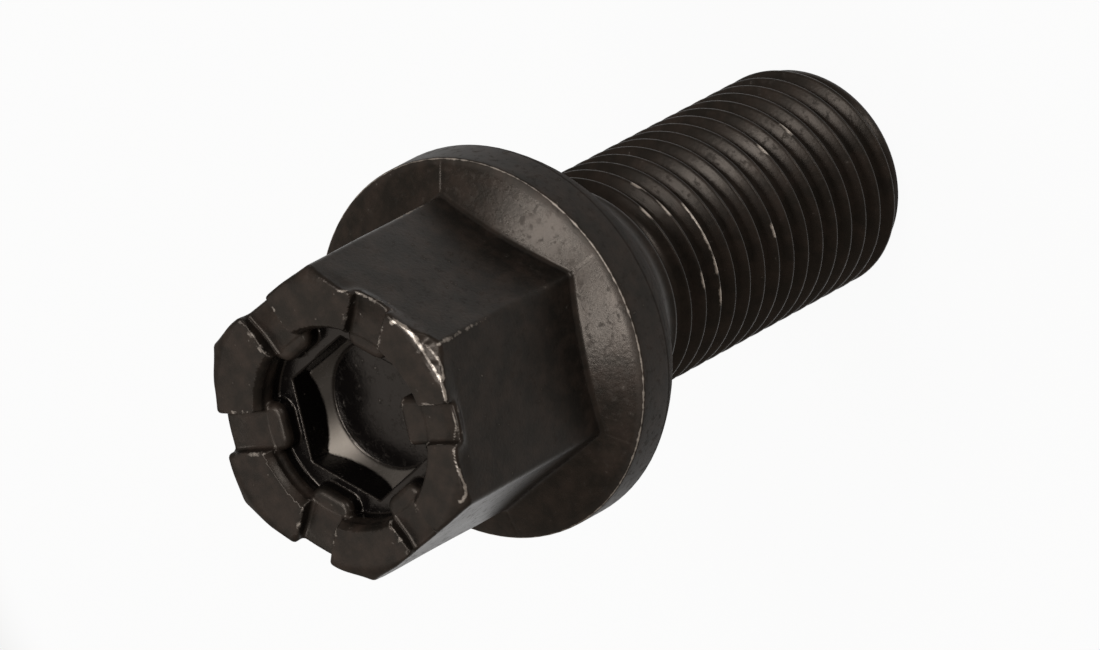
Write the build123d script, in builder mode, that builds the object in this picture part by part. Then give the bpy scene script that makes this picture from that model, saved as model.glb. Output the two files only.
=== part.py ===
from build123d import *

import math
import os

# Wheel bolt: one forged and turned steel piece, standing on its shank end, in millimetres
# The axis is +Z, the origin is the centre of the shank's end face, and two corners of the hexagon lie on Y

# Shank, at the crest diameter of the M14 thread
thread_diameter = 13.9
shank_length = 26.0
tip_diameter = 12.6
tip_length = 1.2
tip_round = 0.5

# Flange and the ball seat under it; the seat's radius is the rim's and a margin
rim_diameter = 23.4
seat_margin = 1.3
neck_round = 1.2
rim_thickness = 2.55
rim_front_round = 0.2
rim_back_round = 0.6
crown_height = 1.15

# Hexagon
across_flats = 16.75
head_height = 12.9
hex_edge_round = 0.45
hex_foot_bevel = 0.3
corner_chamfer_diameter = 17.5
corner_chamfer_angle = 24.0

# Hollow of the head: round mouth, slots, tongues, shoulder, hexagon and round floor
# The two shares are the most of a tongue's side that its rounds may take
hollow_turn = 2.5
mouth_diameter = 11.7
mouth_chamfer = 0.5
slot_width = 2.4
slot_depth = 0.85
slot_round = 0.25
tongue_width = 2.9
tongue_reach = 1.15
tongue_tip_round = 0.55
tongue_root_round = 0.25
tongue_thickness = 1.2
tip_share = 0.6
root_share = 0.3
socket_across_flats = 8.6
socket_depth = 1.6
floor_diameter = 8.1
floor_drop = 1.25

sides = 6
side_angle = 360 / sides

# Heights that follow from the sizes above
shank_radius = thread_diameter / 2
tip_radius = tip_diameter / 2
rim_radius = rim_diameter / 2
seat_radius = rim_radius + seat_margin
flat_radius = across_flats / 2
corner_radius = flat_radius / math.cos(math.radians(side_angle / 2))
seat_centre = shank_length + math.sqrt(seat_radius**2 - shank_radius**2)
rim_back = seat_centre - math.sqrt(seat_radius**2 - rim_radius**2)
rim_front = rim_back + rim_thickness
foot = rim_front + crown_height
face = foot + head_height
slot_floor = face - slot_depth
shoulder = slot_floor - tongue_thickness
ledge = shoulder - socket_depth
floor = ledge - floor_drop
mouth_radius = mouth_diameter / 2
tongue_tip = mouth_radius - tongue_reach
tongue_side = math.sqrt(mouth_radius**2 - (tongue_width / 2) ** 2) - tongue_tip


def near(shape_list, point):
    """Return the item of a shape list that lies nearest to a point."""
    return shape_list.sort_by_distance(point)[0]


with BuildPart() as wheel_bolt:
    # Shank, ball seat, rim and conical flange face, turned as one profile
    with BuildSketch(Plane.XZ) as profile:
        with BuildLine():
            Polyline((0, foot), (0, 0), (tip_radius, 0), (shank_radius, tip_length), (shank_radius, shank_length))
            RadiusArc((shank_radius, shank_length), (rim_radius, rim_back), -seat_radius)
            Polyline((rim_radius, rim_back), (rim_radius, rim_front), (flat_radius, foot), (0, foot))
        make_face()
        corners = profile.vertices()
        fillet([near(corners, (tip_radius, 0)), near(corners, (shank_radius, tip_length))], tip_round)
        fillet(near(profile.vertices(), (shank_radius, shank_length)), neck_round)
        fillet(near(profile.vertices(), (rim_radius, rim_back)), rim_back_round)
        fillet(near(profile.vertices(), (rim_radius, rim_front)), rim_front_round)
    revolve(axis=Axis.Z)

    # Hexagon, with softened edges and a conical cut across its upper corners
    with BuildSketch(Plane.XY.offset(rim_front)) as hexagon:
        RegularPolygon(flat_radius, sides, major_radius=False, rotation=side_angle / 2)
        fillet(hexagon.vertices(), hex_edge_round)
    extrude(amount=face - rim_front)
    foot_edges = wheel_bolt.edges().filter_by_position(Axis.Z, rim_front, foot, inclusive=(False, True))
    chamfer(foot_edges.filter_by(lambda edge: (edge @ 0.5).Z > rim_front + rim_front_round), hex_foot_bevel)
    with BuildSketch(Plane.XZ):
        with BuildLine():
            cut_run = corner_radius - corner_chamfer_diameter / 2
            cut_drop = cut_run * math.tan(math.radians(corner_chamfer_angle))
            inner = (corner_chamfer_diameter / 2, face)
            Polyline(inner, (inner[0] + cut_run, face), (inner[0] + cut_run, face - cut_drop), close=True)
        make_face()
    revolve(axis=Axis.Z, mode=Mode.SUBTRACT)

    # Round mouth with its lead-in, as deep as the slots
    with BuildSketch(Plane.XY.offset(slot_floor)):
        Circle(mouth_radius)
    extrude(amount=slot_depth, mode=Mode.SUBTRACT)
    with Locations((0, 0, face - mouth_chamfer / 2)):
        Cone(mouth_radius, mouth_radius + mouth_chamfer, mouth_chamfer, mode=Mode.SUBTRACT)

    # Slots across the rim of the head, one pair of opposite flats at a time
    for pair in range(sides // 2):
        radial = Vector(1, 0, 0).rotate(Axis.Z, hollow_turn + pair * side_angle)
        with BuildSketch(Plane((0, 0, face), x_dir=radial.cross(Vector(0, 0, 1)), z_dir=radial)) as slot:
            Rectangle(slot_width, 2 * slot_depth)
            fillet(slot.vertices(), slot_round)
        extrude(amount=corner_radius, both=True, mode=Mode.SUBTRACT)

    # Lobes between the six tongues, down to the shoulder
    with BuildSketch(Plane.XY.offset(shoulder)) as lobes:
        Circle(mouth_radius)
        with PolarLocations(tongue_tip, sides, start_angle=hollow_turn):
            Rectangle(mouth_radius, tongue_width, align=(Align.MIN, Align.CENTER), mode=Mode.SUBTRACT)
        roots = lobes.vertices().filter_by(lambda corner: corner.center().length > mouth_radius - tongue_side / 2)
        fillet(roots, min(tongue_root_round, root_share * tongue_side))
        tips = lobes.vertices().filter_by(lambda corner: corner.center().length < tongue_tip + tongue_side / 2)
        fillet(tips, min(tongue_tip_round, tip_share * tongue_side))
    extrude(amount=tongue_thickness, mode=Mode.SUBTRACT)

    # Hexagonal socket under the shoulder, drawn in to a round floor
    with BuildSketch(Plane.XY.offset(ledge)) as socket:
        RegularPolygon(socket_across_flats / 2, sides, major_radius=False, rotation=hollow_turn + side_angle / 2)
    extrude(amount=socket_depth, mode=Mode.SUBTRACT)
    with BuildSketch(Plane.XY.offset(floor)) as floor_disc:
        with BuildLine():
            for side in range(sides):
                CenterArc((0, 0), floor_diameter / 2, hollow_turn + (side + 0.5) * side_angle, side_angle)
        make_face()
    loft([socket.sketch.face(), floor_disc.sketch.face()], mode=Mode.SUBTRACT)

wheel_bolt.part.label = "wheel_bolt"
os.makedirs("parts", exist_ok=True)
export_step(wheel_bolt.part, "parts/wheel_bolt.step")
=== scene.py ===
"""Wheel bolt of black phosphated steel, standing on its shank end: head, flange, ball seat and rolled thread."""
import logging
import math
from collections.abc import Callable, Sequence
from dataclasses import dataclass, field

import bpy
import numpy as np
from mathutils import Euler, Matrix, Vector


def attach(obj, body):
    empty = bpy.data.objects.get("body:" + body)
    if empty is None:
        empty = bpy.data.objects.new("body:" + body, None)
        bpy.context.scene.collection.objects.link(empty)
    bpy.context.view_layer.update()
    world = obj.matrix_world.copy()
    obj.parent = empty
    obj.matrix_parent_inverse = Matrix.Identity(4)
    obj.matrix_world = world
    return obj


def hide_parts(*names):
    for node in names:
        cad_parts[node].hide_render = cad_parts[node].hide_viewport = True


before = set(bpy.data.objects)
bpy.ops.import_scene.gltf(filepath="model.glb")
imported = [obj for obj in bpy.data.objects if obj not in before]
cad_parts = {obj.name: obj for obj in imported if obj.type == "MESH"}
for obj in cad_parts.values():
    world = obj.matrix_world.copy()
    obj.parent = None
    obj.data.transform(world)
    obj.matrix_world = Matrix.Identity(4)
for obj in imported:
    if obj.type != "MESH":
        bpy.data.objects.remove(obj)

log = logging.getLogger("wheel_bolt")
Array = np.ndarray
Values = Array | float
Pair = tuple[float, float]
Triple = tuple[float, float, float]
Row = tuple[float, ...]
Field = Callable[[Array], Array]
Socket = bpy.types.NodeSocket

MM = 0.001
SIDES = 6
SECTOR = 360 / SIDES
NODE = "wheel_bolt"
TINY = 1e-9

# Least wear anywhere: handling leaves a bright speck here and there on the whole bolt
STRAY_WEAR = 0.34

# Directions of the waves in a forged surface, their shift and fall from one to the next, and their usual sum
WAVES = ((1, 0.3, 0.2), (-0.4, 1.1, 0.5), (0.6, -0.7, 1.2), (1.5, 1.3, -0.9), (-1.7, 0.8, 1.6))
WAVE_SHIFT = 1.7
WAVE_FALL = 0.35
WAVE_SUM = 2.4

# Column angles of one sixth of a turn, measured from a corner of the hexagon: close together on the rounded edge
CORNER_STEPS = (0.45, 0.9, 1.4, 2.2, 4.0, 7.0, 11.0, 15.0, 19.0, 23.0, 26.7)


def round_join(a: Array, b: Array, radius: Values) -> Array:
    """Unite two distance fields, with the corner between them rounded.

    Args:
        a: Distances to the first form, negative inside it.
        b: Distances to the second form.
        radius: Radius of the rounded corner in millimetres.

    Returns:
        Distances to the united form.
    """
    near = np.hypot(np.maximum(radius - a, 0.0), np.maximum(radius - b, 0.0))
    return np.maximum(radius, np.minimum(a, b)) - near


def round_meet(a: Array, b: Array, radius: Values) -> Array:
    """Keep what two distance fields share, with the edge between them rounded.

    Args:
        a: Distances to the first form, negative inside it.
        b: Distances to the second form.
        radius: Radius of the rounded edge in millimetres.

    Returns:
        Distances to the shared form.
    """
    return -round_join(-a, -b, radius)


def soft_meet(a: Array, b: Array, width: float) -> Array:
    """Keep what two nearly parallel faces share, easing from one to the other.

    Args:
        a: Distances to the first form, negative inside it.
        b: Distances to the second form.
        width: How far apart the distances are where the easing begins, in millimetres.

    Returns:
        Distances to the shared form.
    """
    gap = np.maximum(width - np.abs(a - b), 0.0)
    return np.maximum(a, b) + gap * gap / (4 * width)


def hexagon(x: Array, y: Array, apothem: float) -> Array:
    """Measure from a hexagon that has two of its corners on Y.

    Args:
        x: First coordinates in millimetres.
        y: Second coordinates in millimetres.
        apothem: Distance from the middle to a flat.

    Returns:
        Distances in the plane, negative inside.
    """
    along, across = np.abs(y), np.abs(x)
    fold = 2 * np.minimum(0.5 * across - math.sqrt(0.75) * along, 0.0)
    along = along + fold * math.sqrt(0.75)
    across = across - fold * 0.5
    half_side = apothem / math.sqrt(3)
    along = along - np.clip(along, -half_side, half_side)
    across = across - apothem
    return np.hypot(along, across) * np.sign(across)


def ease(value: Array, start: float, end: float) -> Array:
    """Rise smoothly from 0 at start to 1 at end.

    Args:
        value: Numbers to place on the rise.
        start: Where the rise begins.
        end: Where it is complete; it may lie below start.

    Returns:
        Numbers from 0 to 1.
    """
    share = np.clip((value - start) / (end - start), 0.0, 1.0)
    return share * share * (3 - 2 * share)


def ripple(points: Array, length: float, seed: float) -> Array:
    """Give the slow unevenness of a forged surface, from waves that never fall in step.

    Args:
        points: Positions in millimetres, last axis of three.
        length: Length of the longest wave in millimetres.
        seed: Shifts the waves, so that two uses differ.

    Returns:
        Numbers from about -1 to 1.
    """
    total = np.zeros(points.shape[:-1])
    for step, wave in enumerate(WAVES):
        phase = points @ (np.array(wave) * 2 * math.pi / length) + seed * (step + WAVE_SHIFT)
        total += np.sin(phase) / (1 + WAVE_FALL * step)
    return total / WAVE_SUM


def round_table(values: Sequence[float], points: Array) -> Array:
    """Read evenly spaced values round the axis, easing from each to the next.

    Args:
        values: The values, from +X once round.
        points: Positions in millimetres, last axis of three.

    Returns:
        The value at each point's angle.
    """
    place = (np.degrees(np.arctan2(points[..., 1], points[..., 0])) % 360) * len(values) / 360
    table, below = np.array(values), np.floor(place).astype(int) % len(values)
    step = table[(below + 1) % len(values)] - table[below]
    return table[below] + step * ease(place - np.floor(place), 0.0, 1.0)


@dataclass(frozen=True)
class Rub:
    """A line along which the coat is rubbed away, through points given as angle, radius and height."""

    line: tuple[Triple, ...]
    width: float
    strength: float

    def amount(self, points: Array) -> Array:
        """Find the wear that the line gives, strongest on it.

        Args:
            points: Positions in millimetres, one a row.

        Returns:
            Wear from 0 to the line's strength.
        """
        corners = []
        for deg, radius, height in self.line:
            turn = math.radians(deg)
            corners.append(np.array((radius * math.cos(turn), radius * math.sin(turn), height)))
        away = np.full(len(points), np.inf)
        for start, end in zip(corners, corners[1:]):
            run = end - start
            share = np.clip((points - start) @ run / (run @ run), 0.0, 1.0)
            away = np.minimum(away, np.linalg.norm(points - start - share[:, None] * run, axis=1))
        return self.strength * np.exp(-((away / self.width) ** 2))


def slope_of(distance: Field, points: Array, step: float = 0.015) -> Array:
    """Find the outward normals of a distance field.

    Args:
        distance: Field that is negative inside the steel.
        points: Positions in millimetres, last axis of three.
        step: How far to each side the field is felt, in millimetres.

    Returns:
        Unit normals at the points.
    """
    sides = [distance(points + step * axis) - distance(points - step * axis) for axis in np.eye(3)]
    normal = np.stack(sides, -1)
    return normal / np.maximum(np.linalg.norm(normal, axis=-1, keepdims=True), TINY)


def carve(distance: Field, axes: Sequence[Array]) -> tuple[Array, Array]:
    """Lay a net of quads on the zero level of a distance field.

    Args:
        distance: Field that is negative inside the steel.
        axes: Grid positions along X, Y and Z in millimetres.

    Returns:
        Points near the surface and the quads between them.
    """
    grid = np.stack(np.meshgrid(*axes, indexing="ij"), -1)
    value = distance(grid)
    cells = tuple(n - 1 for n in value.shape)
    total, hits = np.zeros(cells + (3,)), np.zeros(cells, int)
    crossings = []
    for axis in range(3):
        lo = tuple(slice(0, -1) if k == axis else slice(None) for k in range(3))
        hi = tuple(slice(1, None) if k == axis else slice(None) for k in range(3))
        inside = value[lo] < 0
        cross = inside != (value[hi] < 0)
        share = np.where(cross, value[lo] / np.where(cross, value[lo] - value[hi], 1.0), 0.0)
        place = (grid[lo] + share[..., None] * (grid[hi] - grid[lo])) * cross[..., None]
        crossings.append((cross, inside))
        others = [k for k in range(3) if k != axis]
        for shift in ((0, 0), (0, 1), (1, 0), (1, 1)):
            part = [slice(None)] * 3
            for k, s in zip(others, shift):
                part[k] = slice(s, cells[k] + s)
            total += place[tuple(part)]
            hits += cross[tuple(part)]
    used = hits > 0
    index = np.full(cells, -1)
    index[used] = np.arange(used.sum())
    quads = []
    for axis, (cross, inside) in enumerate(crossings):
        first, second = (axis + 1) % 3, (axis + 2) % 3
        at = np.argwhere(cross)
        at = at[np.all([(at[:, k] > 0) & (at[:, k] < cells[k]) for k in (first, second)], axis=0)]
        corners = []
        for a, b in ((-1, -1), (0, -1), (0, 0), (-1, 0)):
            cell = at.copy()
            cell[:, first] += a
            cell[:, second] += b
            corners.append(index[tuple(cell.T)])
        quad = np.stack(corners, 1)
        leaving = inside[tuple(at.T)]
        quads.append(np.where(leaving[:, None], quad, quad[:, ::-1]))
    return total[used] / hits[used][:, None], np.concatenate(quads)


def columns() -> Array:
    """Return the angles in radians of all columns that run down the bolt, from just past +X once round."""
    steps = [*(-s for s in reversed(CORNER_STEPS)), 0.0, *CORNER_STEPS, SECTOR / 2]
    return np.radians([SECTOR * (k + 0.5) + s for k in range(SIDES) for s in steps])


class Skin:
    """A mesh in the making: points in millimetres with their wear, polish and normals, and the faces between them."""

    def __init__(self) -> None:
        """Start with nothing."""
        self.points = np.zeros((0, 3))
        self.wear = np.zeros(0)
        self.polish = np.zeros(0)
        self.normals = np.zeros((0, 3))
        self.faces: list[tuple[int, ...]] = []

    def add(self, points: Array, wear: Values = 0.0, polish: Values = 0.0, normals: Array | None = None) -> Array:
        """Append points.

        Args:
            points: Positions in millimetres, any shape with a last axis of three.
            wear: How far the black coat is rubbed away at each point, 0 to 1.
            polish: How smooth the dies have pressed each point, up to 1; below 0 it is rougher than forged. From 0.5 up
                it also paints shade, turning the coat near black, and from 0.8 up a pale painted highlight.
            normals: Exact normals, or none where the mesh's own will do.

        Returns:
            The indices of the new points.
        """
        points = points.reshape(-1, 3)
        start, size = len(self.points), len(points)
        self.points = np.concatenate([self.points, points])
        self.wear = np.concatenate([self.wear, np.broadcast_to(wear, size)])
        self.polish = np.concatenate([self.polish, np.broadcast_to(polish, size)])
        self.normals = np.concatenate([self.normals, np.zeros((size, 3)) if normals is None else normals])
        return np.arange(start, start + size)

    def ring(self, radius: Values, height: Values, wear: Values = 0.0, polish: Values = 0.0) -> Array:
        """Add one ring of points on the columns.

        Args:
            radius: Radius in millimetres, one for all columns or one each.
            height: Height in millimetres, one for all columns or one each.
            wear: Wear as for add.
            polish: Polish as for add.

        Returns:
            The indices of the ring, in order round the axis.
        """
        turn = columns()
        flat = np.broadcast_to(radius, turn.shape)
        points = np.stack([flat * np.cos(turn), flat * np.sin(turn), np.broadcast_to(height, turn.shape)], -1)
        return self.add(points, wear, polish)

    def band(self, low: Array, high: Array) -> None:
        """Join two rings of equal length, the lower one first, with a closed band of quads."""
        quads = np.stack([low, np.roll(low, -1), np.roll(high, -1), high], 1)
        self.faces += [tuple(quad) for quad in quads.tolist()]

    def zip_rings(self, low: Array, high: Array) -> None:
        """Join two rings of unlike length by triangles, walking both by their angle about the axis.

        Args:
            low: Indices of the lower ring.
            high: Indices of the upper ring.
        """
        low, below = self.by_angle(low)
        high, above = self.by_angle(high)
        i = j = 0
        while i < len(low) or j < len(high):
            here, there = low[i % len(low)], high[j % len(high)]
            if j >= len(high) or (i < len(low) and below[i + 1] <= above[j + 1]):
                self.faces.append((here, low[(i + 1) % len(low)], there))
                i += 1
            else:
                self.faces.append((here, high[(j + 1) % len(high)], there))
                j += 1

    def by_angle(self, ring: Array) -> tuple[list[int], list[float]]:
        """Sort a ring by angle about the axis.

        Args:
            ring: Indices of its points.

        Returns:
            The indices in order, and the angles in radians with the first one repeated a turn later.
        """
        turn = np.arctan2(self.points[ring, 1], self.points[ring, 0])
        order = np.argsort(turn)
        return ring[order].tolist(), [*turn[order].tolist(), float(turn[order[0]]) + 2 * math.pi]

    def rub(self, line: Rub) -> None:
        """Wear the coat along a line."""
        self.wear = np.maximum(self.wear, line.amount(self.points))

    def piece(self, name: str) -> bpy.types.Object:
        """Make the Blender object.

        Args:
            name: Name of the object and its mesh.

        Returns:
            The object, in metres, smooth and with its attributes.
        """
        mesh = bpy.data.meshes.new(name)
        mesh.from_pydata((self.points * MM).tolist(), [], self.faces)
        mesh.update()
        for label, values in (("wear", np.maximum(self.wear, STRAY_WEAR)), ("polish", self.polish)):
            mesh.attributes.new(label, "FLOAT", "POINT").data.foreach_set("value", values.astype(np.float32))
        mesh.shade_smooth()
        normals = np.zeros(len(self.points) * 3, np.float32)
        mesh.vertex_normals.foreach_get("vector", normals)
        normals = normals.reshape(-1, 3)
        exact = np.any(self.normals != 0, axis=1)
        normals[exact] = self.normals[exact]
        mesh.normals_split_custom_set_from_vertices(normals.tolist())
        made = bpy.data.objects.new(name, mesh)
        bpy.context.scene.collection.objects.link(made)
        return made


@dataclass
class Hollow:
    """The punched hollow of the head's face, as distances to the open space, in millimetres."""

    face: float = 47.92
    centre: Pair = (-0.25, 0.02)
    turn_deg: float = 2.3
    mouth_radius: float = 5.85
    lead_in: float = 0.5
    slot_half_width: float = 1.17
    slot_draft: float = 0.05
    slot_corner: float = 0.2
    slot_depths: Row = (0.88, 0.82, 0.82, 0.78, 0.74, 0.8)
    slot_rise: float = 0.2
    slot_rise_span: Pair = (7.0, 8.8)
    slot_join: float = 0.1
    tongue_half_width: float = 1.45
    tongue_tips: Row = (5.0, 4.7, 4.85, 4.8, 3.7, 4.9)
    tongue_corner: float = 0.8
    tongue_root: float = 0.22
    lead_in_round: float = 0.12
    mouth_round: float = 0.1
    lip_round: float = 0.45
    shoulder: float = 45.87
    shoulder_round: float = 0.12
    socket_apothem: float = 4.3
    socket_round: float = 0.05
    ledge: float = 44.27
    floor: float = 43.02
    floor_radius: float = 4.05
    floor_round: float = 0.15
    # The sloped band between the hexagon and the floor, whose corners are rounder than the hexagon's
    band_corner: float = 2.2
    band_spread: float = 0.18
    # Polish by the punch: where it begins outside the mouth and under the face, and the band's part of it. The same
    # values paint shade over the hollow, where the coat turns near black, and a pale highlight on the band.
    wall_polish_and_shade: float = 0.8
    polish_and_shade_margin: Pair = (0.35, 0.05)
    polish_and_shade_depth: Pair = (1.15, 1.5)
    band_foot: Pair = (0.06, 0.16)
    band_side: Pair = (-0.01, -0.06)
    band_top: float = 0.1
    # Painted highlight on the band: a share of it all round, the rest at one corner
    band_highlight_share: float = 0.17
    painted_highlight_deg: float = 92.0
    painted_highlight_span: float = 19.0
    # A distance longer than any that is met
    far: float = 9.0

    def axes(self) -> list[Pair]:
        """Return the unit direction of each slot, from the one on +X round to the left."""
        turns = [math.radians(self.turn_deg + SECTOR * k) for k in range(SIDES)]
        return [(math.cos(turn), math.sin(turn)) for turn in turns]

    def pocket_plan(self, x: Array, y: Array, corner: float = 0.0) -> Array:
        """Measure in plan from the pocket's hexagon, which is turned with the slots.

        Args:
            x: First coordinates from the hollow's centre in millimetres.
            y: Second coordinates.
            corner: Radius of the hexagon's corners.

        Returns:
            Distances in the plane, negative inside.
        """
        cos, sin = self.axes()[0]
        return hexagon(x * cos + y * sin, y * cos - x * sin, self.socket_apothem - corner) - corner

    def pressed(self, points: Array) -> Array:
        """Find the polish that the punch gives, most at one corner of the sloped band, which also paints shade over the
        hollow and a pale highlight on the band.

        Args:
            points: Positions in millimetres, one a row.

        Returns:
            Polish from 0 to 1.
        """
        x, y, z = points[:, 0] - self.centre[0], points[:, 1] - self.centre[1], points[:, 2]
        inside = ease(np.hypot(x, y), *(self.mouth_radius + margin for margin in self.polish_and_shade_margin))
        deep = ease(z, *(self.face - depth for depth in self.polish_and_shade_depth))
        band = ease(z, *(self.floor + rise for rise in self.band_foot))
        band = band * ease(self.pocket_plan(x, y), *self.band_side)
        # Painted highlight, strongest at one corner of the band
        corner = np.exp(-(((np.degrees(np.arctan2(y, x)) - self.painted_highlight_deg) / self.painted_highlight_span) ** 2))
        band = band * (self.band_highlight_share + (1 - self.band_highlight_share) * corner)
        band = band * ease(z, self.ledge + self.band_top, self.ledge)
        return inside * deep * (self.wall_polish_and_shade + (1 - self.wall_polish_and_shade) * band)

    def distance(self, points: Array) -> Array:
        """Measure from the hollow's space.

        Args:
            points: Positions in millimetres, last axis of three.

        Returns:
            Distances, negative in the open space.
        """
        x, y, z = points[..., 0] - self.centre[0], points[..., 1] - self.centre[1], points[..., 2]
        radius = np.hypot(x, y)
        far = np.full(radius.shape, self.far)
        slots, tongues, top = far, far, np.full(radius.shape, self.face)
        for (cos, sin), depth, tip in zip(self.axes(), self.slot_depths, self.tongue_tips):
            out, side = x * cos + y * sin, np.abs(y * cos - x * sin)
            ahead = out > 0
            floor = self.face - depth + self.slot_rise * ease(out, *self.slot_rise_span)
            wall = side - self.slot_half_width - self.slot_draft * (z - floor)
            slots = np.minimum(slots, np.where(ahead, round_meet(wall, floor - z, self.slot_corner), far))
            tongue = round_meet(side - self.tongue_half_width, tip - out, self.tongue_corner)
            tongues = np.minimum(tongues, np.where(ahead, tongue, far))
            own = ahead & (side <= out * math.tan(math.radians(SECTOR / 2)))
            top = np.where(own, self.face - depth, top)
        bore = radius - self.mouth_radius
        lead = (bore - (z - self.face + self.lead_in)) * math.sqrt(0.5)
        mouth = round_meet(round_join(bore, lead, self.lead_in_round), top - z, self.mouth_round)
        lobes = round_meet(bore, -tongues, self.tongue_root)
        lobes = round_meet(lobes, self.shoulder - z, self.shoulder_round)
        plan = self.pocket_plan(x, y)
        socket = round_meet(plan, self.ledge - z, self.socket_round)
        share = np.clip((z - self.floor) / (self.ledge - self.floor), 0.0, 1.0)
        wide = self.pocket_plan(x, y, self.band_corner) - self.band_spread
        drawn = np.maximum(share * wide + (1 - share) * (radius - self.floor_radius), plan)
        pocket = round_meet(drawn, self.floor - z, self.floor_round)
        upper = round_join(round_join(mouth, slots, self.slot_join), lobes, self.lip_round)
        return round_join(upper, np.minimum(socket, pocket), self.shoulder_round)


@dataclass
class Head:
    """The hexagon with its hollow face: carved from distances at the top, plain rings of points below."""

    hollow: Hollow = field(default_factory=Hollow)
    apothem: float = 8.375
    edge_round: float = 0.45
    face_round: float = 0.17
    chamfer_radius: float = 8.8
    chamfer_deg: float = 24.0
    # How far the walls swell near the face at each 15 degrees, and how far under the face that begins and ends
    swells: Row = (
        0.08, 0.14, -0.12, 0.27, 0.5, 0.3, 0.1, 0.43, 0.45, 0.38, -0.04, 0.15,
        0.15, 0.1, 0.0, -0.05, 0.35, 0.05, 0.0, 0.05, 0.4, -0.05, 0.0, 0.1,
    )
    swell_span: Pair = (1.3, 0.3)
    # Unevenness of walls, face and knocked corner, each as height, wave length and seed
    wall_ripple: Triple = (0.02, 7.0, 1.3)
    face_ripple: Triple = (0.012, 5.0, 4.1)
    battered_ripple: Triple = (0.5, 1.6, 2.2)
    battered_deg: float = -90.0
    battered_span: float = 15.0
    battered_cut: float = 0.22
    # Width over which face and chamfer ease together, and rounding of the hollow's edges at its inner and outer ends
    chamfer_ease: float = 0.15
    inner_edge: float = 0.05
    outer_edge: float = 0.3
    outer_span: Pair = (7.4, 8.7)
    # Wear of the face's outer edge at each 15 degrees, of the hollow's edges, and where each is found
    edge_wear: Row = (
        0.2, 0.2, 0.2, 0.2, 0.2, 0.2, 0.2, 0.2, 0.2, 0.2, 0.2, 0.25,
        0.3, 0.4, 0.5, 0.5, 0.5, 0.55, 0.6, 0.6, 0.5, 0.45, 0.45, 0.35,
    )
    edge_wear_radii: Pair = (7.5, 8.2)
    edge_wear_heights: Pair = (46.2, 46.8)
    lip_wear: float = 0.54
    lip_wear_radii: Pair = (8.1, 7.5)
    lip_wear_heights: Pair = (46.5, 46.9)
    edge_feel: float = 0.3
    edge_gain: float = 3.0
    corner_wear: float = 0.35
    corner_wear_deg: float = 1.4
    # The face is flat right up to its inner edges, so that these show no soft line
    flat_depth: float = 0.09
    flat_radius: float = 8.3
    # The net of the carved part: its cells, its reach and the margins under the floor and over the face
    spacing: float = 0.118
    reach: float = 9.95
    margins: Pair = (0.3, 0.25)
    joint: float = 45.0
    joint_radius: float = 7.6
    # Longest move of a point on its way to the surface, the number of moves, and the steps in to the walls' radius
    settle: float = 0.06
    settle_moves: int = 2
    wall_steps: int = 12

    def outline(self, points: Array) -> Array:
        """Measure from the hexagon's walls, which swell beside the slots near the face.

        Args:
            points: Positions in millimetres, last axis of three.

        Returns:
            Distances, negative inside the walls.
        """
        x, y, z = points[..., 0], points[..., 1], points[..., 2]
        wall = hexagon(x, y, self.apothem - self.edge_round) - self.edge_round
        swell = round_table(self.swells, points)
        fade = ease(z, *(self.hollow.face - depth for depth in self.swell_span))
        height, *waves = self.wall_ripple
        return wall - swell * fade - height * ripple(points, *waves)

    def distance(self, points: Array) -> Array:
        """Measure from the head's steel.

        Args:
            points: Positions in millimetres, last axis of three.

        Returns:
            Distances, negative inside the steel.
        """
        z = points[..., 2]
        radius = np.hypot(points[..., 0], points[..., 1])
        slope = math.radians(self.chamfer_deg)
        height, *waves = self.face_ripple
        top = z - self.hollow.face + height * (1 + ripple(points, *waves))
        turn = np.degrees(np.arctan2(points[..., 1], points[..., 0])) - self.battered_deg
        height, *waves = self.battered_ripple
        knock = 1 + height * ripple(points, *waves)
        battered = self.battered_cut * np.exp(-((turn / self.battered_span) ** 2)) * knock
        cone = (z - self.hollow.face) * math.cos(slope) + (radius - self.chamfer_radius) * math.sin(slope) + battered
        block = round_meet(self.outline(points), soft_meet(top, cone, self.chamfer_ease), self.face_round)
        soft = self.inner_edge + self.outer_edge * ease(radius, *self.outer_span)
        return round_meet(block, -self.hollow.distance(points), soft)

    def build(self, skin: Skin) -> Array:
        """Add the head down to its joint with the lower rings.

        Args:
            skin: The mesh that the head is added to.

        Returns:
            The indices of its lowest ring, on the columns.
        """
        side = np.arange(-self.reach, self.reach + self.spacing, self.spacing)
        below, above = self.margins
        height = np.arange(self.hollow.floor - below, self.hollow.face + above, self.spacing)
        points, quads = carve(self.distance, (side, side, height))
        outer = (np.hypot(points[:, 0], points[:, 1]) > self.joint_radius) & (points[:, 2] < self.joint)
        quads = quads[~np.any(outer[quads], axis=1)]
        kept = np.unique(quads)
        renumber = np.full(len(points), -1)
        renumber[kept] = np.arange(len(kept))
        points, quads = points[kept], renumber[quads]
        for _ in range(self.settle_moves):
            normals = slope_of(self.distance, points)
            points = points - normals * np.clip(self.distance(points), -self.settle, self.settle)[:, None]
        normals = slope_of(self.distance, points)
        wear = self.edge_rub(points, normals)
        flat = points[:, 2] > self.hollow.face - self.flat_depth
        normals[flat & (np.hypot(points[:, 0], points[:, 1]) < self.flat_radius)] = (0.0, 0.0, 1.0)
        places = skin.add(points, wear, self.hollow.pressed(points), normals)
        skin.faces += [tuple(quad) for quad in places[quads].tolist()]
        edges = np.concatenate([places[quads[:, [a, b]]] for a, b in ((0, 1), (1, 2), (2, 3), (3, 0))])
        single, count = np.unique(np.sort(edges, axis=1), axis=0, return_counts=True)
        rim = np.unique(single[count == 1])
        ring = self.wall_ring(skin, self.joint - self.spacing)
        skin.zip_rings(ring, rim)
        return ring

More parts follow.
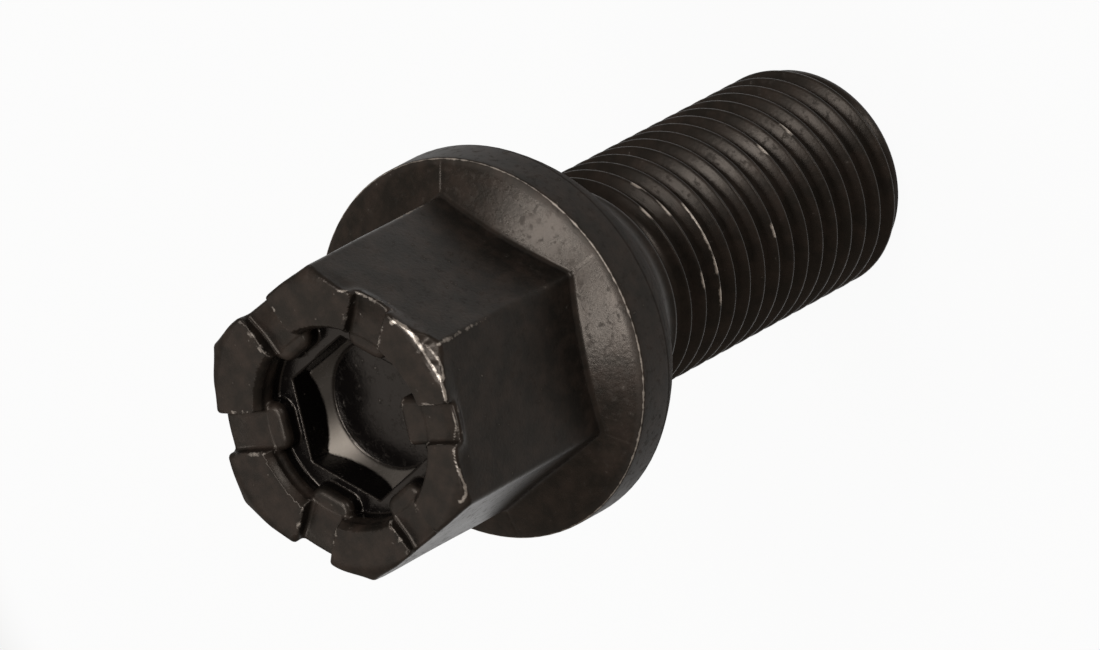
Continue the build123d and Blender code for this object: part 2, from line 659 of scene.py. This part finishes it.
    def edge_rub(self, points: Array, normals: Array) -> Array:
        """Find the wear of sharp edges, felt by how soon the steel ends behind a point.

        Args:
            points: Positions on the surface in millimetres, one a row.
            normals: The surface's unit normals there.

        Returns:
            Wear from 0 to 1.
        """
        radius, z = np.hypot(points[:, 0], points[:, 1]), points[:, 2]
        sharp = 1 + self.distance(points - self.edge_feel * normals) / self.edge_feel
        outer = ease(radius, *self.edge_wear_radii) * ease(z, *self.edge_wear_heights)
        inner = ease(radius, *self.lip_wear_radii) * ease(z, *self.lip_wear_heights) * self.lip_wear
        return np.clip(sharp * self.edge_gain, 0, 1) * (outer * round_table(self.edge_wear, points) + inner)

    def wall_radius(self, height: Values) -> Array:
        """Find the walls' radius by walking in to the outline.

        Args:
            height: Height in millimetres, one for all columns or one each.

        Returns:
            The radius on each column.
        """
        turn = columns()
        level = np.broadcast_to(height, turn.shape)
        radius = np.full(turn.shape, self.apothem / math.cos(math.radians(SECTOR / 2)))
        for _ in range(self.wall_steps):
            points = np.stack([radius * np.cos(turn), radius * np.sin(turn), level], -1)
            radius = radius - self.outline(points)
        return radius

    def wall_ring(self, skin: Skin, height: Values) -> Array:
        """Add one ring of the walls.

        Args:
            skin: The mesh that the ring is added to.
            height: Height in millimetres.

        Returns:
            The indices of the ring.
        """
        corner = np.abs((np.degrees(columns()) % SECTOR) - SECTOR / 2)
        wear = self.corner_wear * np.exp(-((corner / self.corner_wear_deg) ** 2))
        return skin.ring(self.wall_radius(height), height, wear)


def arc(centre: Pair, radius: float, start: float, end: float, count: int) -> list[Pair]:
    """Return radius and height of points on an arc of a turned profile.

    Args:
        centre: Radius and height of the arc's centre in millimetres.
        radius: Radius of the arc.
        start: First angle in degrees, from the outward direction.
        end: Last angle in degrees.
        count: Number of points.

    Returns:
        Pairs of radius and height.
    """
    turns = np.radians(np.linspace(start, end, count))
    return [(centre[0] + radius * math.cos(t), centre[1] + radius * math.sin(t)) for t in turns]


@dataclass
class Flange:
    """The rim, its conical face and the ball seat, between the hexagon and the shank."""

    rim_radius: float = 11.7
    rim_front: float = 33.870
    foot: float = 35.020
    flat_radius: float = 8.375
    front_round: float = 0.2
    front_drop: float = 0.165
    front_share: float = 0.9
    back_round: float = 0.6
    back_height: float = 31.459
    back_deg: float = -26.4
    foot_round: float = 0.4
    seat_radius: float = 13.0
    seat_centre: float = 36.986
    seat_low: float = 26.341
    seat_high: float = 31.192
    neck_round: float = 1.2
    neck_height: float = 25.358
    neck_radius: float = 6.88
    neck_deg: float = 125.0
    # Depth of the fine crease that runs out from each corner of the hexagon, and its half width in degrees
    creases: Row = (0.02, 0.03, 0.02, 0.015, 0.035, 0.05)
    crease_deg: float = 0.35
    # How far above the foot the walls are plumb, where their radius is taken
    plumb_rise: float = 1.0
    # The face is pressed smooth; the seat is left rough from turning, and the rim less so
    polish: float = 0.5
    seat_polish: float = -3.0
    rim_polish: float = -0.9
    rim_wear: float = 0.05
    edge_wear: Row = (0.0, 0.2, 0.55, 0.8, 0.55, 0.0)
    # Rows of points on the neck, seat, back edge, rim, foot and walls, and the face's rows as shares of its width
    neck_rows: int = 7
    seat_rows: int = 20
    back_rows: int = 6
    rim_rows: int = 7
    foot_rows: int = 6
    wall_rows: int = 9
    face_rows: Row = (0.12, 0.3, 0.48, 0.64, 0.78, 0.9, 1.0)

    def face_height(self, radius: Array) -> Array:
        """Return the conical face's height at a radius."""
        width = self.rim_radius - self.flat_radius
        return self.foot + (self.rim_front - self.foot) * (radius - self.flat_radius) / width

    def rough_polish(self, height: float) -> float:
        """Return the polish at a height below the rim's front."""
        return self.seat_polish if height < self.back_height else self.rim_polish

    def turned(self) -> list[Triple]:
        """Draw the turned profile from the neck up to the rim's front edge.

        Returns:
            Radius, height and wear of each ring.
        """
        centre = (self.neck_radius + self.neck_round, self.neck_height)
        rows = [(r, z, 0.0) for r, z in arc(centre, self.neck_round, 180, self.neck_deg, self.neck_rows)]
        for z in np.linspace(self.seat_low, self.seat_high, self.seat_rows):
            rows.append((math.sqrt(self.seat_radius**2 - (self.seat_centre - z) ** 2), float(z), 0.0))
        centre = (self.rim_radius - self.back_round, self.back_height)
        back = arc(centre, self.back_round, self.back_deg, 0, self.back_rows)
        rows += [(r, z, self.rim_wear) for r, z in back[1:]]
        lean = math.degrees(math.atan2(self.foot - self.rim_front, self.rim_radius - self.flat_radius))
        low = self.rim_front - self.front_drop
        for z in np.linspace(self.back_height, low, self.rim_rows)[1:-1]:
            rows.append((self.rim_radius, float(z), self.rim_wear))
        edge = arc((self.rim_radius - self.front_round, low), self.front_round, 0, 90 - lean, len(self.edge_wear))
        rows += [(r, z, wear) for (r, z), wear in zip(edge, self.edge_wear)]
        return rows

    def build(self, skin: Skin, head: Head, wall: Array) -> Array:
        """Add the flange and the foot of the hexagon.

        Args:
            skin: The mesh that the flange is added to.
            head: The head that stands on it.
            wall: Indices of the head's lowest ring.

        Returns:
            The indices of the neck's ring, at the top of the shank.
        """
        rings = [skin.ring(r, z, wear, self.rough_polish(z)) for r, z, wear in self.turned()]
        base = head.wall_radius(self.foot + self.plumb_rise)
        corner = np.abs((np.degrees(columns()) % SECTOR) - SECTOR / 2)
        dip = np.repeat(self.creases, len(corner) // SIDES) * np.exp(-((corner / self.crease_deg) ** 2))
        lean = math.atan2(self.foot - self.rim_front, self.rim_radius - self.flat_radius)
        tangent = self.face_height(base) + self.foot_round * (1 / math.cos(lean) - math.tan(lean))
        start = self.rim_radius - self.front_round * self.front_share
        end = base + self.foot_round * (1 - math.sin(lean))
        for share in self.face_rows:
            radius = start + (end - start) * share
            rings.append(skin.ring(radius, self.face_height(radius) - dip, 0.0, self.polish))
        for turn in np.linspace(lean, math.pi / 2, self.foot_rows)[1:]:
            radius = base + self.foot_round * (1 - math.sin(turn))
            height = tangent - self.foot_round * math.cos(turn)
            rings.append(skin.ring(radius, height - dip * math.cos(turn)))
        low = self.foot + self.foot_round
        for height in np.linspace(low, head.joint - head.spacing, self.wall_rows)[1:-1]:
            rings.append(head.wall_ring(skin, float(height)))
        rings.append(wall)
        for below, above in zip(rings, rings[1:]):
            skin.band(below, above)
        return rings[0]


@dataclass
class Shank:
    """The rolled thread as a helical grid, with its run-out under the neck and a rounded lead-in at the end."""

    crest_radius: float = 6.95
    pitch: float = 1.5
    crest_height: float = 0.444
    run_out: Pair = (22.4, 25.0)
    neck_radius: float = 6.88
    neck_height: float = 25.358
    # Rows from a crest to the next root as shares of the pitch, and the groove's depth at such shares
    half_rows: Row = (0.0, 0.03, 0.06, 0.1, 0.25, 0.4, 0.455, 0.5)
    cut_places: Row = (0.0, 0.03, 0.06, 0.1, 0.4, 0.455, 0.5)
    cut_depths: Row = (0.0, 0.008, 0.045, 0.125, 0.858, 0.905, 0.92)
    crest_wear: float = 0.15
    crest_span: Pair = (0.1, 0.04)
    # Height and radius up the rounded lead-in, the levels of its rings, and the end's rings as shares of its radius
    end_profile: tuple[Pair, ...] = (
        (0.0, 6.0), (0.02, 6.14), (0.06, 6.24), (0.13, 6.337), (0.2, 6.402), (0.262, 6.442),
        (1.089, 6.889), (1.2, 6.934), (1.327, 6.95),
    )
    end_levels: Row = (0.0, 0.02, 0.06, 0.13, 0.2)
    end_rings: Row = (0.94, 0.6, 0.25)
    # Rows nearer than this to the lowest or highest ring are joined to it, and laps that run past both ends
    weld: float = 0.02
    spare_laps: int = 2

    def radius_at(self, turn: Array, height: Array) -> tuple[Array, Array]:
        """Find the thread's surface.

        Args:
            turn: Angles about the axis in radians.
            height: Heights in millimetres.

        Returns:
            Radius in millimetres and wear of the crest.
        """
        lap = (height - self.crest_height) / self.pitch - turn / (2 * math.pi)
        off = np.abs(lap - np.round(lap))
        cut = np.interp(off, self.cut_places, self.cut_depths)
        fade = ease(height, *self.run_out)
        crest = self.crest_radius + (self.neck_radius - self.crest_radius) * fade
        lead = np.interp(height, [z for z, _ in self.end_profile], [r for _, r in self.end_profile])
        radius = np.minimum(crest - cut * (1 - fade), lead)
        return radius, self.crest_wear * ease(off, *self.crest_span) * (1 - fade)

    def ring(self, skin: Skin, height: float) -> Array:
        """Add one level ring and return its indices."""
        radius, wear = self.radius_at(columns(), np.full(len(columns()), height))
        return skin.ring(radius, height, wear)

    def build(self, skin: Skin, neck: Array) -> None:
        """Add the thread, the lead-in and the flat end.

        Args:
            skin: The mesh that the shank is added to.
            neck: Indices of the neck's ring, which the thread runs up to.
        """
        turn = columns()
        levels = [self.ring(skin, z) for z in self.end_levels]
        top = self.ring(skin, self.run_out[1])
        rows = [*self.half_rows, *(1 - r for r in reversed(self.half_rows[1:-1]))]
        laps = range(-self.spare_laps, int(self.neck_height / self.pitch) + self.spare_laps + 1)
        fractions = np.array([lap + row for lap in laps for row in rows])
        height = self.crest_height + self.pitch * (fractions[:, None] + turn[None, :] / (2 * math.pi))
        low, high = self.end_levels[-1], self.run_out[1]
        index = np.where(height <= low + self.weld, levels[-1][None, :], top[None, :])
        inner = (height > low + self.weld) & (height < high - self.weld)
        angle = np.broadcast_to(turn, height.shape)[inner]
        radius, wear = self.radius_at(angle, height[inner])
        points = np.stack([radius * np.cos(angle), radius * np.sin(angle), height[inner]], -1)
        index[inner] = skin.add(points, wear)
        for row in range(len(fractions) - len(rows) - 1):
            here, above = index[row], index[row + 1]
            after = np.append(here[1:], index[row + len(rows)][0])
            beyond = np.append(above[1:], index[row + len(rows) + 1][0])
            for face in zip(here.tolist(), after.tolist(), beyond.tolist(), above.tolist()):
                corners = tuple(dict.fromkeys(face))
                if len(corners) > 2:
                    skin.faces.append(corners)
        for below, upper in zip(levels, levels[1:]):
            skin.band(below, upper)
        skin.band(top, neck)
        inner_ring = levels[0]
        for share in self.end_rings:
            ring = skin.ring(self.end_profile[0][1] * share, 0.0)
            skin.band(ring, inner_ring)
            inner_ring = ring
        centre = int(skin.add(np.zeros((1, 3)))[0])
        for a, b in zip(inner_ring.tolist(), np.roll(inner_ring, -1).tolist()):
            skin.faces.append((a, centre, b))


def linear(colour: str) -> tuple[float, float, float, float]:
    """Turn an sRGB colour into linear values.

    Args:
        colour: The colour as a hex value, such as "#808080".

    Returns:
        Red, green, blue and full opacity, each from 0 to 1.
    """
    parts = [int(colour[k : k + 2], 16) / 255 for k in (1, 3, 5)]
    red, green, blue = (p / 12.92 if p <= 0.04045 else ((p + 0.055) / 1.055) ** 2.4 for p in parts)
    return red, green, blue, 1.0


def add_node(
    tree: bpy.types.NodeTree, kind: str, inputs: dict[str | int, object] | None = None, **settings: object
) -> bpy.types.Node:
    """Add a node with its settings and links.

    Args:
        tree: Node tree that it joins.
        kind: Blender's name of the node type.
        inputs: Values or sockets for its inputs, by name or place.
        **settings: Properties of the node.

    Returns:
        The node.
    """
    node = tree.nodes.new(kind)
    for name, value in settings.items():
        setattr(node, name, value)
    for key, value in (inputs or {}).items():
        if isinstance(value, Socket):
            tree.links.new(value, node.inputs[key])
        else:
            node.inputs[key].default_value = value
    return node


@dataclass(frozen=True)
class BlackSteel:
    """Forged steel, zinc-phosphated black and oiled: satin near-black, mottled, and rubbed to bare metal on edges."""

    # The coat is a layer of fine crystals that drinks oil, so it mirrors far less than paint and has a brown cast
    coat: str = "#0f0d0b"
    coat_pale: str = "#231c18"
    painted_shade_coat: str = "#060505"
    sheen: str = "#fff0e2"
    gloss: float = 0.26
    roughness: Pair = (0.31, 0.39)
    # Full polish takes this much off the roughness, and over this range turns the coat near black, a painted shade for
    # the deep hollow
    pressed: float = 0.18
    painted_shade_range: Pair = (0.5, 0.8)
    # Painted highlight: where the polish is highest, on the hollow's sloped band and most at one corner, the coat is
    # painted pale grey and made a little rougher
    painted_highlight_coat: str = "#aea59b"
    painted_highlight: float = 0.95
    painted_highlight_range: Pair = (0.8, 1.0)
    painted_highlight_dullness: float = 0.12
    # Where it is rubbed through, bright steel with fine scratches shows
    steel: str = "#a69d94"
    scuff_weight: float = 1.1
    bare_range: Pair = (1.1, 1.5)
    # The crystals are some hundredths of a millimetre wide, too fine to show, so the grain is drawn coarser
    grain_mm: float = 0.22
    scuff_mm: float = 0.45
    speck_mm: float = 0.45
    mottle_mm: float = 1.3
    cloud_mm: float = 6.0
    relief_mm: float = 0.035
    # How much of each pattern shows: the parts of the noise that are used, and its weight
    noise_roughness: float = 0.6
    speck_range: Pair = (0.55, 0.67)
    speck_dullness: float = 0.16
    cloud_range: Pair = (0.3, 0.7)
    mottle_range: Pair = (0.4, 0.72)
    mottle_relief: float = 0.9
    bump: float = 0.25

    def make(self) -> bpy.types.Material:
        """Build the material.

        Returns:
            The material, which reads the mesh's wear and polish, and paints shade and a highlight from the polish.
        """
        material = bpy.data.materials.new("black_phosphated_steel")
        material.use_nodes = True
        tree = material.node_tree
        tree.nodes.clear()
        place = add_node(tree, "ShaderNodeTexCoord").outputs["Object"]
        wear = add_node(tree, "ShaderNodeAttribute", attribute_name="wear").outputs["Fac"]
        polish = add_node(tree, "ShaderNodeAttribute", attribute_name="polish").outputs["Fac"]

        def noise(size_mm: float, detail: float) -> Socket:
            """Return noise whose cells are of a size in millimetres."""
            inputs = {"Vector": place, "Scale": 1 / (size_mm * MM), "Detail": detail, "Roughness": self.noise_roughness}
            return add_node(tree, "ShaderNodeTexNoise", inputs).outputs["Fac"]

        def between(value: Socket, low: float, high: float, start: float = 0.0, end: float = 1.0) -> Socket:
            """Return a value's place between two limits, spread from start to end."""
            inputs = {"Value": value, "From Min": low, "From Max": high, "To Min": start, "To Max": end}
            return add_node(tree, "ShaderNodeMapRange", inputs).outputs[0]

        def sum_of(value: Socket, times: float, more: Socket) -> Socket:
            """Return a value times a number and another value added."""
            inputs = {0: value, 1: times, 2: more}
            return add_node(tree, "ShaderNodeMath", inputs, operation="MULTIPLY_ADD").outputs[0]

        def mixed(share: Socket, first: object, second: object) -> Socket:
            """Return a colour between two."""
            return add_node(tree, "ShaderNodeMix", {0: share, 6: first, 7: second}, data_type="RGBA").outputs[2]

        grain, mottle = noise(self.grain_mm, detail=3.0), noise(self.mottle_mm, detail=5.0)
        speck = between(noise(self.speck_mm, detail=4.0), *self.speck_range)
        cloud = between(noise(self.cloud_mm, detail=3.0), *self.cloud_range, *self.roughness)
        rough = sum_of(polish, -self.pressed, cloud)
        bare = between(sum_of(noise(self.scuff_mm, detail=4.0), self.scuff_weight, wear), *self.bare_range)
        painted_highlight = between(polish, *self.painted_highlight_range, 0.0, self.painted_highlight)
        coat = mixed(between(mottle, *self.mottle_range), linear(self.coat), linear(self.coat_pale))
        # Painted shade: where the polish is high, deep in the hollow, the coat turns near black
        coat = mixed(between(polish, *self.painted_shade_range), coat, linear(self.painted_shade_coat))
        # Painted highlight: pale grey on the sloped band, most at one corner
        coat = mixed(painted_highlight, coat, linear(self.painted_highlight_coat))
        relief = {
            "Height": sum_of(mottle, self.mottle_relief, grain),
            "Strength": self.bump,
            "Distance": self.relief_mm * MM,
        }
        surface = add_node(
            tree,
            "ShaderNodeBsdfPrincipled",
            {
                "Base Color": mixed(bare, coat, linear(self.steel)),
                "Metallic": bare,
                "Roughness": sum_of(painted_highlight, self.painted_highlight_dullness, sum_of(speck, self.speck_dullness, rough)),
                "Specular IOR Level": self.gloss,
                "Specular Tint": linear(self.sheen),
                "Normal": add_node(tree, "ShaderNodeBump", relief).outputs[0],
            },
        )
        add_node(tree, "ShaderNodeOutputMaterial", {"Surface": surface.outputs[0]})
        return material


@dataclass(frozen=True)
class Softbox:
    """A round soft lamp, aimed at the bolt from an azimuth and elevation in degrees."""

    name: str
    azimuth: float
    elevation: float
    size: float
    power: float

    def hang(self, distance: float, aim: Vector) -> None:
        """Add the lamp to the scene.

        Args:
            distance: How far it hangs from the point it is aimed at, in metres.
            aim: That point.
        """
        lamp = bpy.data.lights.new(self.name, "AREA")
        lamp.shape, lamp.size, lamp.energy = "DISK", self.size, self.power
        holder = bpy.data.objects.new(self.name, lamp)
        turn, rise = math.radians(self.azimuth), math.radians(self.elevation)
        away = Vector((math.cos(turn) * math.cos(rise), math.sin(turn) * math.cos(rise), math.sin(rise)))
        holder.location = aim + away * distance
        holder.rotation_euler = away.to_track_quat("Z", "Y").to_euler()
        bpy.context.scene.collection.objects.link(holder)


@dataclass
class Studio:
    """The pale floor, soft lamps and the camera at the photograph's angle."""

    # Camera, in millimetres and degrees: it looks down at about 48 degrees and is rolled as in the photograph
    camera_place: Triple = (-75.596, -522.033, 621.181)
    camera_turn: Triple = (-22.76719, 35.83337, -133.80226)
    lens: float = 443.286
    sensor: float = 36.0
    clip: Pair = (0.05, 20.0)
    # Matt paper without gloss; a painted pool of light glows white round the bolt, to the eye and in reflections, and
    # fades out beyond it; its place and size are in metres
    floor_radius: float = 1.6
    floor_sides: int = 96
    floor_colour: str = "#969593"
    painted_pool_glow: float = 0.95
    painted_pool_centre: Pair = (0.0028, 0.0243)
    painted_pool_size: Pair = (0.043, 0.052)
    painted_pool_fade: Pair = (0.97, 1.32)
    # Lamps as name, azimuth, elevation, width in metres and power
    lamp_distance: float = 1.2
    lamp_aim: Triple = (0.0, 0.0, 0.03)
    lamps: tuple[Softbox, ...] = (
        Softbox("key", -45, 62, 0.34, 6.8),
        Softbox("overhead", 180, 84, 0.34, 5.5),
        Softbox("overhead_back", 20, 74, 0.34, 4.3),
        Softbox("back", 80, 48, 0.42, 0.42),
        Softbox("front", -86, 15, 0.36, 3.8),
    )
    surround: float = 0.33
    surround_colour: str = "#fff2e4"

    def build(self) -> None:
        """Make everything."""
        self.add_camera()
        self.add_floor()
        self.add_lamps()

    def add_camera(self) -> None:
        """Add the camera and make it the scene's."""
        lens = bpy.data.cameras.new("camera")
        lens.lens, lens.sensor_width, lens.sensor_fit = self.lens, self.sensor, "HORIZONTAL"
        lens.clip_start, lens.clip_end = self.clip
        camera = bpy.data.objects.new("camera", lens)
        camera.location = Vector(self.camera_place) * MM
        camera.rotation_euler = Euler([math.radians(a) for a in self.camera_turn], "XYZ")
        bpy.context.scene.collection.objects.link(camera)
        bpy.context.scene.camera = camera

    def add_floor(self) -> None:
        """Add a round pale floor."""
        turns = np.linspace(0, 2 * math.pi, self.floor_sides, endpoint=False)
        mesh = bpy.data.meshes.new("floor")
        points = [(self.floor_radius * math.cos(t), self.floor_radius * math.sin(t), 0.0) for t in turns]
        mesh.from_pydata(points, [], [tuple(range(len(points)))])
        mesh.materials.append(self.paper())
        floor = bpy.data.objects.new("floor", mesh)
        bpy.context.scene.collection.objects.link(floor)

    def paper(self) -> bpy.types.Material:
        """Build the floor's material.

        Returns:
            The material, with a painted pool of light that glows to the eye and in reflections.
        """
        material = bpy.data.materials.new("paper_with_painted_light_pool")
        material.use_nodes = True
        tree = material.node_tree
        tree.nodes.clear()
        path = add_node(tree, "ShaderNodeLightPath").outputs
        seen = path["Is Camera Ray"]
        for ray in (path["Is Glossy Ray"], path["Is Transmission Ray"]):
            seen = add_node(tree, "ShaderNodeMath", {0: seen, 1: ray}, operation="MAXIMUM").outputs[0]
        place = add_node(tree, "ShaderNodeTexCoord").outputs["Object"]
        # Painted pool of light: full glow near the bolt, fading to none further out
        scale = [1 / size for size in self.painted_pool_size]
        shift = [-middle * factor for middle, factor in zip(self.painted_pool_centre, scale)]
        inputs = {"Vector": place, "Location": (*shift, 0.0), "Scale": (*scale, 1.0)}
        place = add_node(tree, "ShaderNodeMapping", inputs).outputs[0]
        away = add_node(tree, "ShaderNodeVectorMath", {0: place}, operation="LENGTH").outputs["Value"]
        start, end = self.painted_pool_fade
        inputs = {"Value": away, "From Min": start, "From Max": end, "To Min": self.painted_pool_glow, "To Max": 0.0}
        painted_pool = add_node(tree, "ShaderNodeMapRange", inputs, interpolation_type="SMOOTHSTEP").outputs[0]
        share = add_node(tree, "ShaderNodeMath", {0: seen, 1: painted_pool}, operation="MULTIPLY").outputs[0]
        paper = add_node(tree, "ShaderNodeBsdfDiffuse", {"Color": linear(self.floor_colour)}).outputs[0]
        light = add_node(tree, "ShaderNodeEmission", {"Color": (1, 1, 1, 1), "Strength": 1.0}).outputs[0]
        mixed = add_node(tree, "ShaderNodeMixShader", {0: share, 1: paper, 2: light}).outputs[0]
        add_node(tree, "ShaderNodeOutputMaterial", {"Surface": mixed})
        return material

    def add_lamps(self) -> None:
        """Add the soft lamps and a dim even surround."""
        for lamp in self.lamps:
            lamp.hang(self.lamp_distance, Vector(self.lamp_aim))
        world = bpy.data.worlds.new("surround")
        world.use_nodes = True
        surround = world.node_tree.nodes["Background"].inputs
        surround["Color"].default_value = linear(self.surround_colour)
        surround["Strength"].default_value = self.surround
        bpy.context.scene.world = world


# Rubbed lines, with their width and strength: the knocked edge of the face, then the corners of the hexagon
RUBS = (
    Rub(
        ((-109, 8.53, 47.84), (-105, 8.65, 47.83), (-100.5, 8.66, 47.79), (-96, 8.6, 47.74), (-88.6, 8.62, 47.75)),
        0.17, 0.88,
    ),
    Rub(
        ((-88.6, 8.62, 47.75), (-82, 8.76, 47.79), (-77, 8.74, 47.77), (-73.4, 8.63, 47.8), (-71.7, 8.36, 47.91)),
        0.2, 0.92,
    ),
    Rub(
        ((-102, 8.8, 47.7), (-97.5, 9.03, 47.55), (-93.6, 9.14, 47.63), (-89, 9.02, 47.64), (-83, 8.81, 47.72)),
        0.15, 0.8,
    ),
    Rub(
        ((-58, 8.44, 47.26), (-53, 8.41, 47.22), (-49.7, 8.46, 47.41), (-47.6, 8.52, 47.84), (-45, 8.43, 47.92)),
        0.12, 0.9,
    ),
    Rub(
        ((-130, 8.35, 47.89), (-134, 8.42, 47.91), (-138, 8.66, 47.88), (-141, 8.9, 47.79), (-143.5, 9.11, 47.67)),
        0.13, 0.9,
    ),
    Rub(
        ((-143.5, 9.11, 47.67), (-146.5, 9.26, 47.69), (-149.6, 9.21, 47.74), (-150.5, 9.04, 47.81)),
        0.17, 0.88,
    ),
    Rub(((-127, 7.94, 47.3), (-121, 8.27, 47.32), (-116, 8.25, 47.32), (-109, 8.53, 47.84)), 0.11, 0.8),
    Rub(((-150.5, 9.04, 47.81), (-156.6, 8.9, 47.85), (-165, 8.71, 47.84)), 0.14, 0.5),
    Rub(((-45, 8.43, 47.92), (-39.7, 8.79, 47.86), (-33, 9.17, 47.75)), 0.2, 0.5),
    Rub(((-90, 9.56, 47.35), (-90.2, 9.6, 46.2), (-90, 9.6, 45.2)), 0.26, 0.7),
    Rub(((-90, 9.6, 45.2), (-90, 9.6, 43.0)), 0.26, 0.6),
    Rub(((-90, 9.6, 38.6), (-90, 9.6, 35.6)), 0.2, 0.56),
    Rub(((-30, 9.6, 39.4), (-30, 9.6, 35.6)), 0.22, 0.66),
)

# Middles of nicks across the thread's crests, as angle and height
NICKS = (
    (-62.5, 21.18), (-76.6, 22.62), (-79.2, 21.11), (-86.8, 19.58), (-93.9, 19.55), (-104.7, 19.51),
    (-116.1, 19.46), (-120.5, 20.94), (-131.2, 19.40), (-76.6, 10.63), (-72.5, 7.64), (-114.7, 13.47),
)


def nick(shank: Shank, angle: float, height: float, half_deg: float = 3.5, width: float = 0.17) -> Rub:
    """Lay the bright line that a knock leaves along a crest of the thread.

    Args:
        shank: The shank whose thread it is.
        angle: Angle of its middle in degrees.
        height: Height of its middle in millimetres.
        half_deg: Half its length in degrees.
        width: Its width in millimetres.

    Returns:
        The line.
    """
    radius, rise = shank.crest_radius, shank.pitch * half_deg / 360
    return Rub(((angle - half_deg, radius, height - rise), (angle + half_deg, radius, height + rise)), width, 1.0)


def main() -> None:
    """Build the bolt, dress it, set the studio and report each piece."""
    scene = bpy.context.scene
    scene.view_settings.view_transform = "Standard"
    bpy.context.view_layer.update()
    skin = Skin()
    head, flange, shank = Head(), Flange(), Shank()
    wall = head.build(skin)
    neck = flange.build(skin, head, wall)
    shank.build(skin, neck)
    for line in (*RUBS, *(nick(shank, *place) for place in NICKS)):
        skin.rub(line)
    bolt = skin.piece("bolt")
    bolt.data.materials.append(BlackSteel().make())
    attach(bolt, "root")
    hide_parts(NODE)
    log.info("bolt: %d points, %d faces", len(bolt.data.vertices), len(bolt.data.polygons))
    Studio().build()


if __name__ == "__main__":
    logging.basicConfig(level=logging.INFO)
    main()
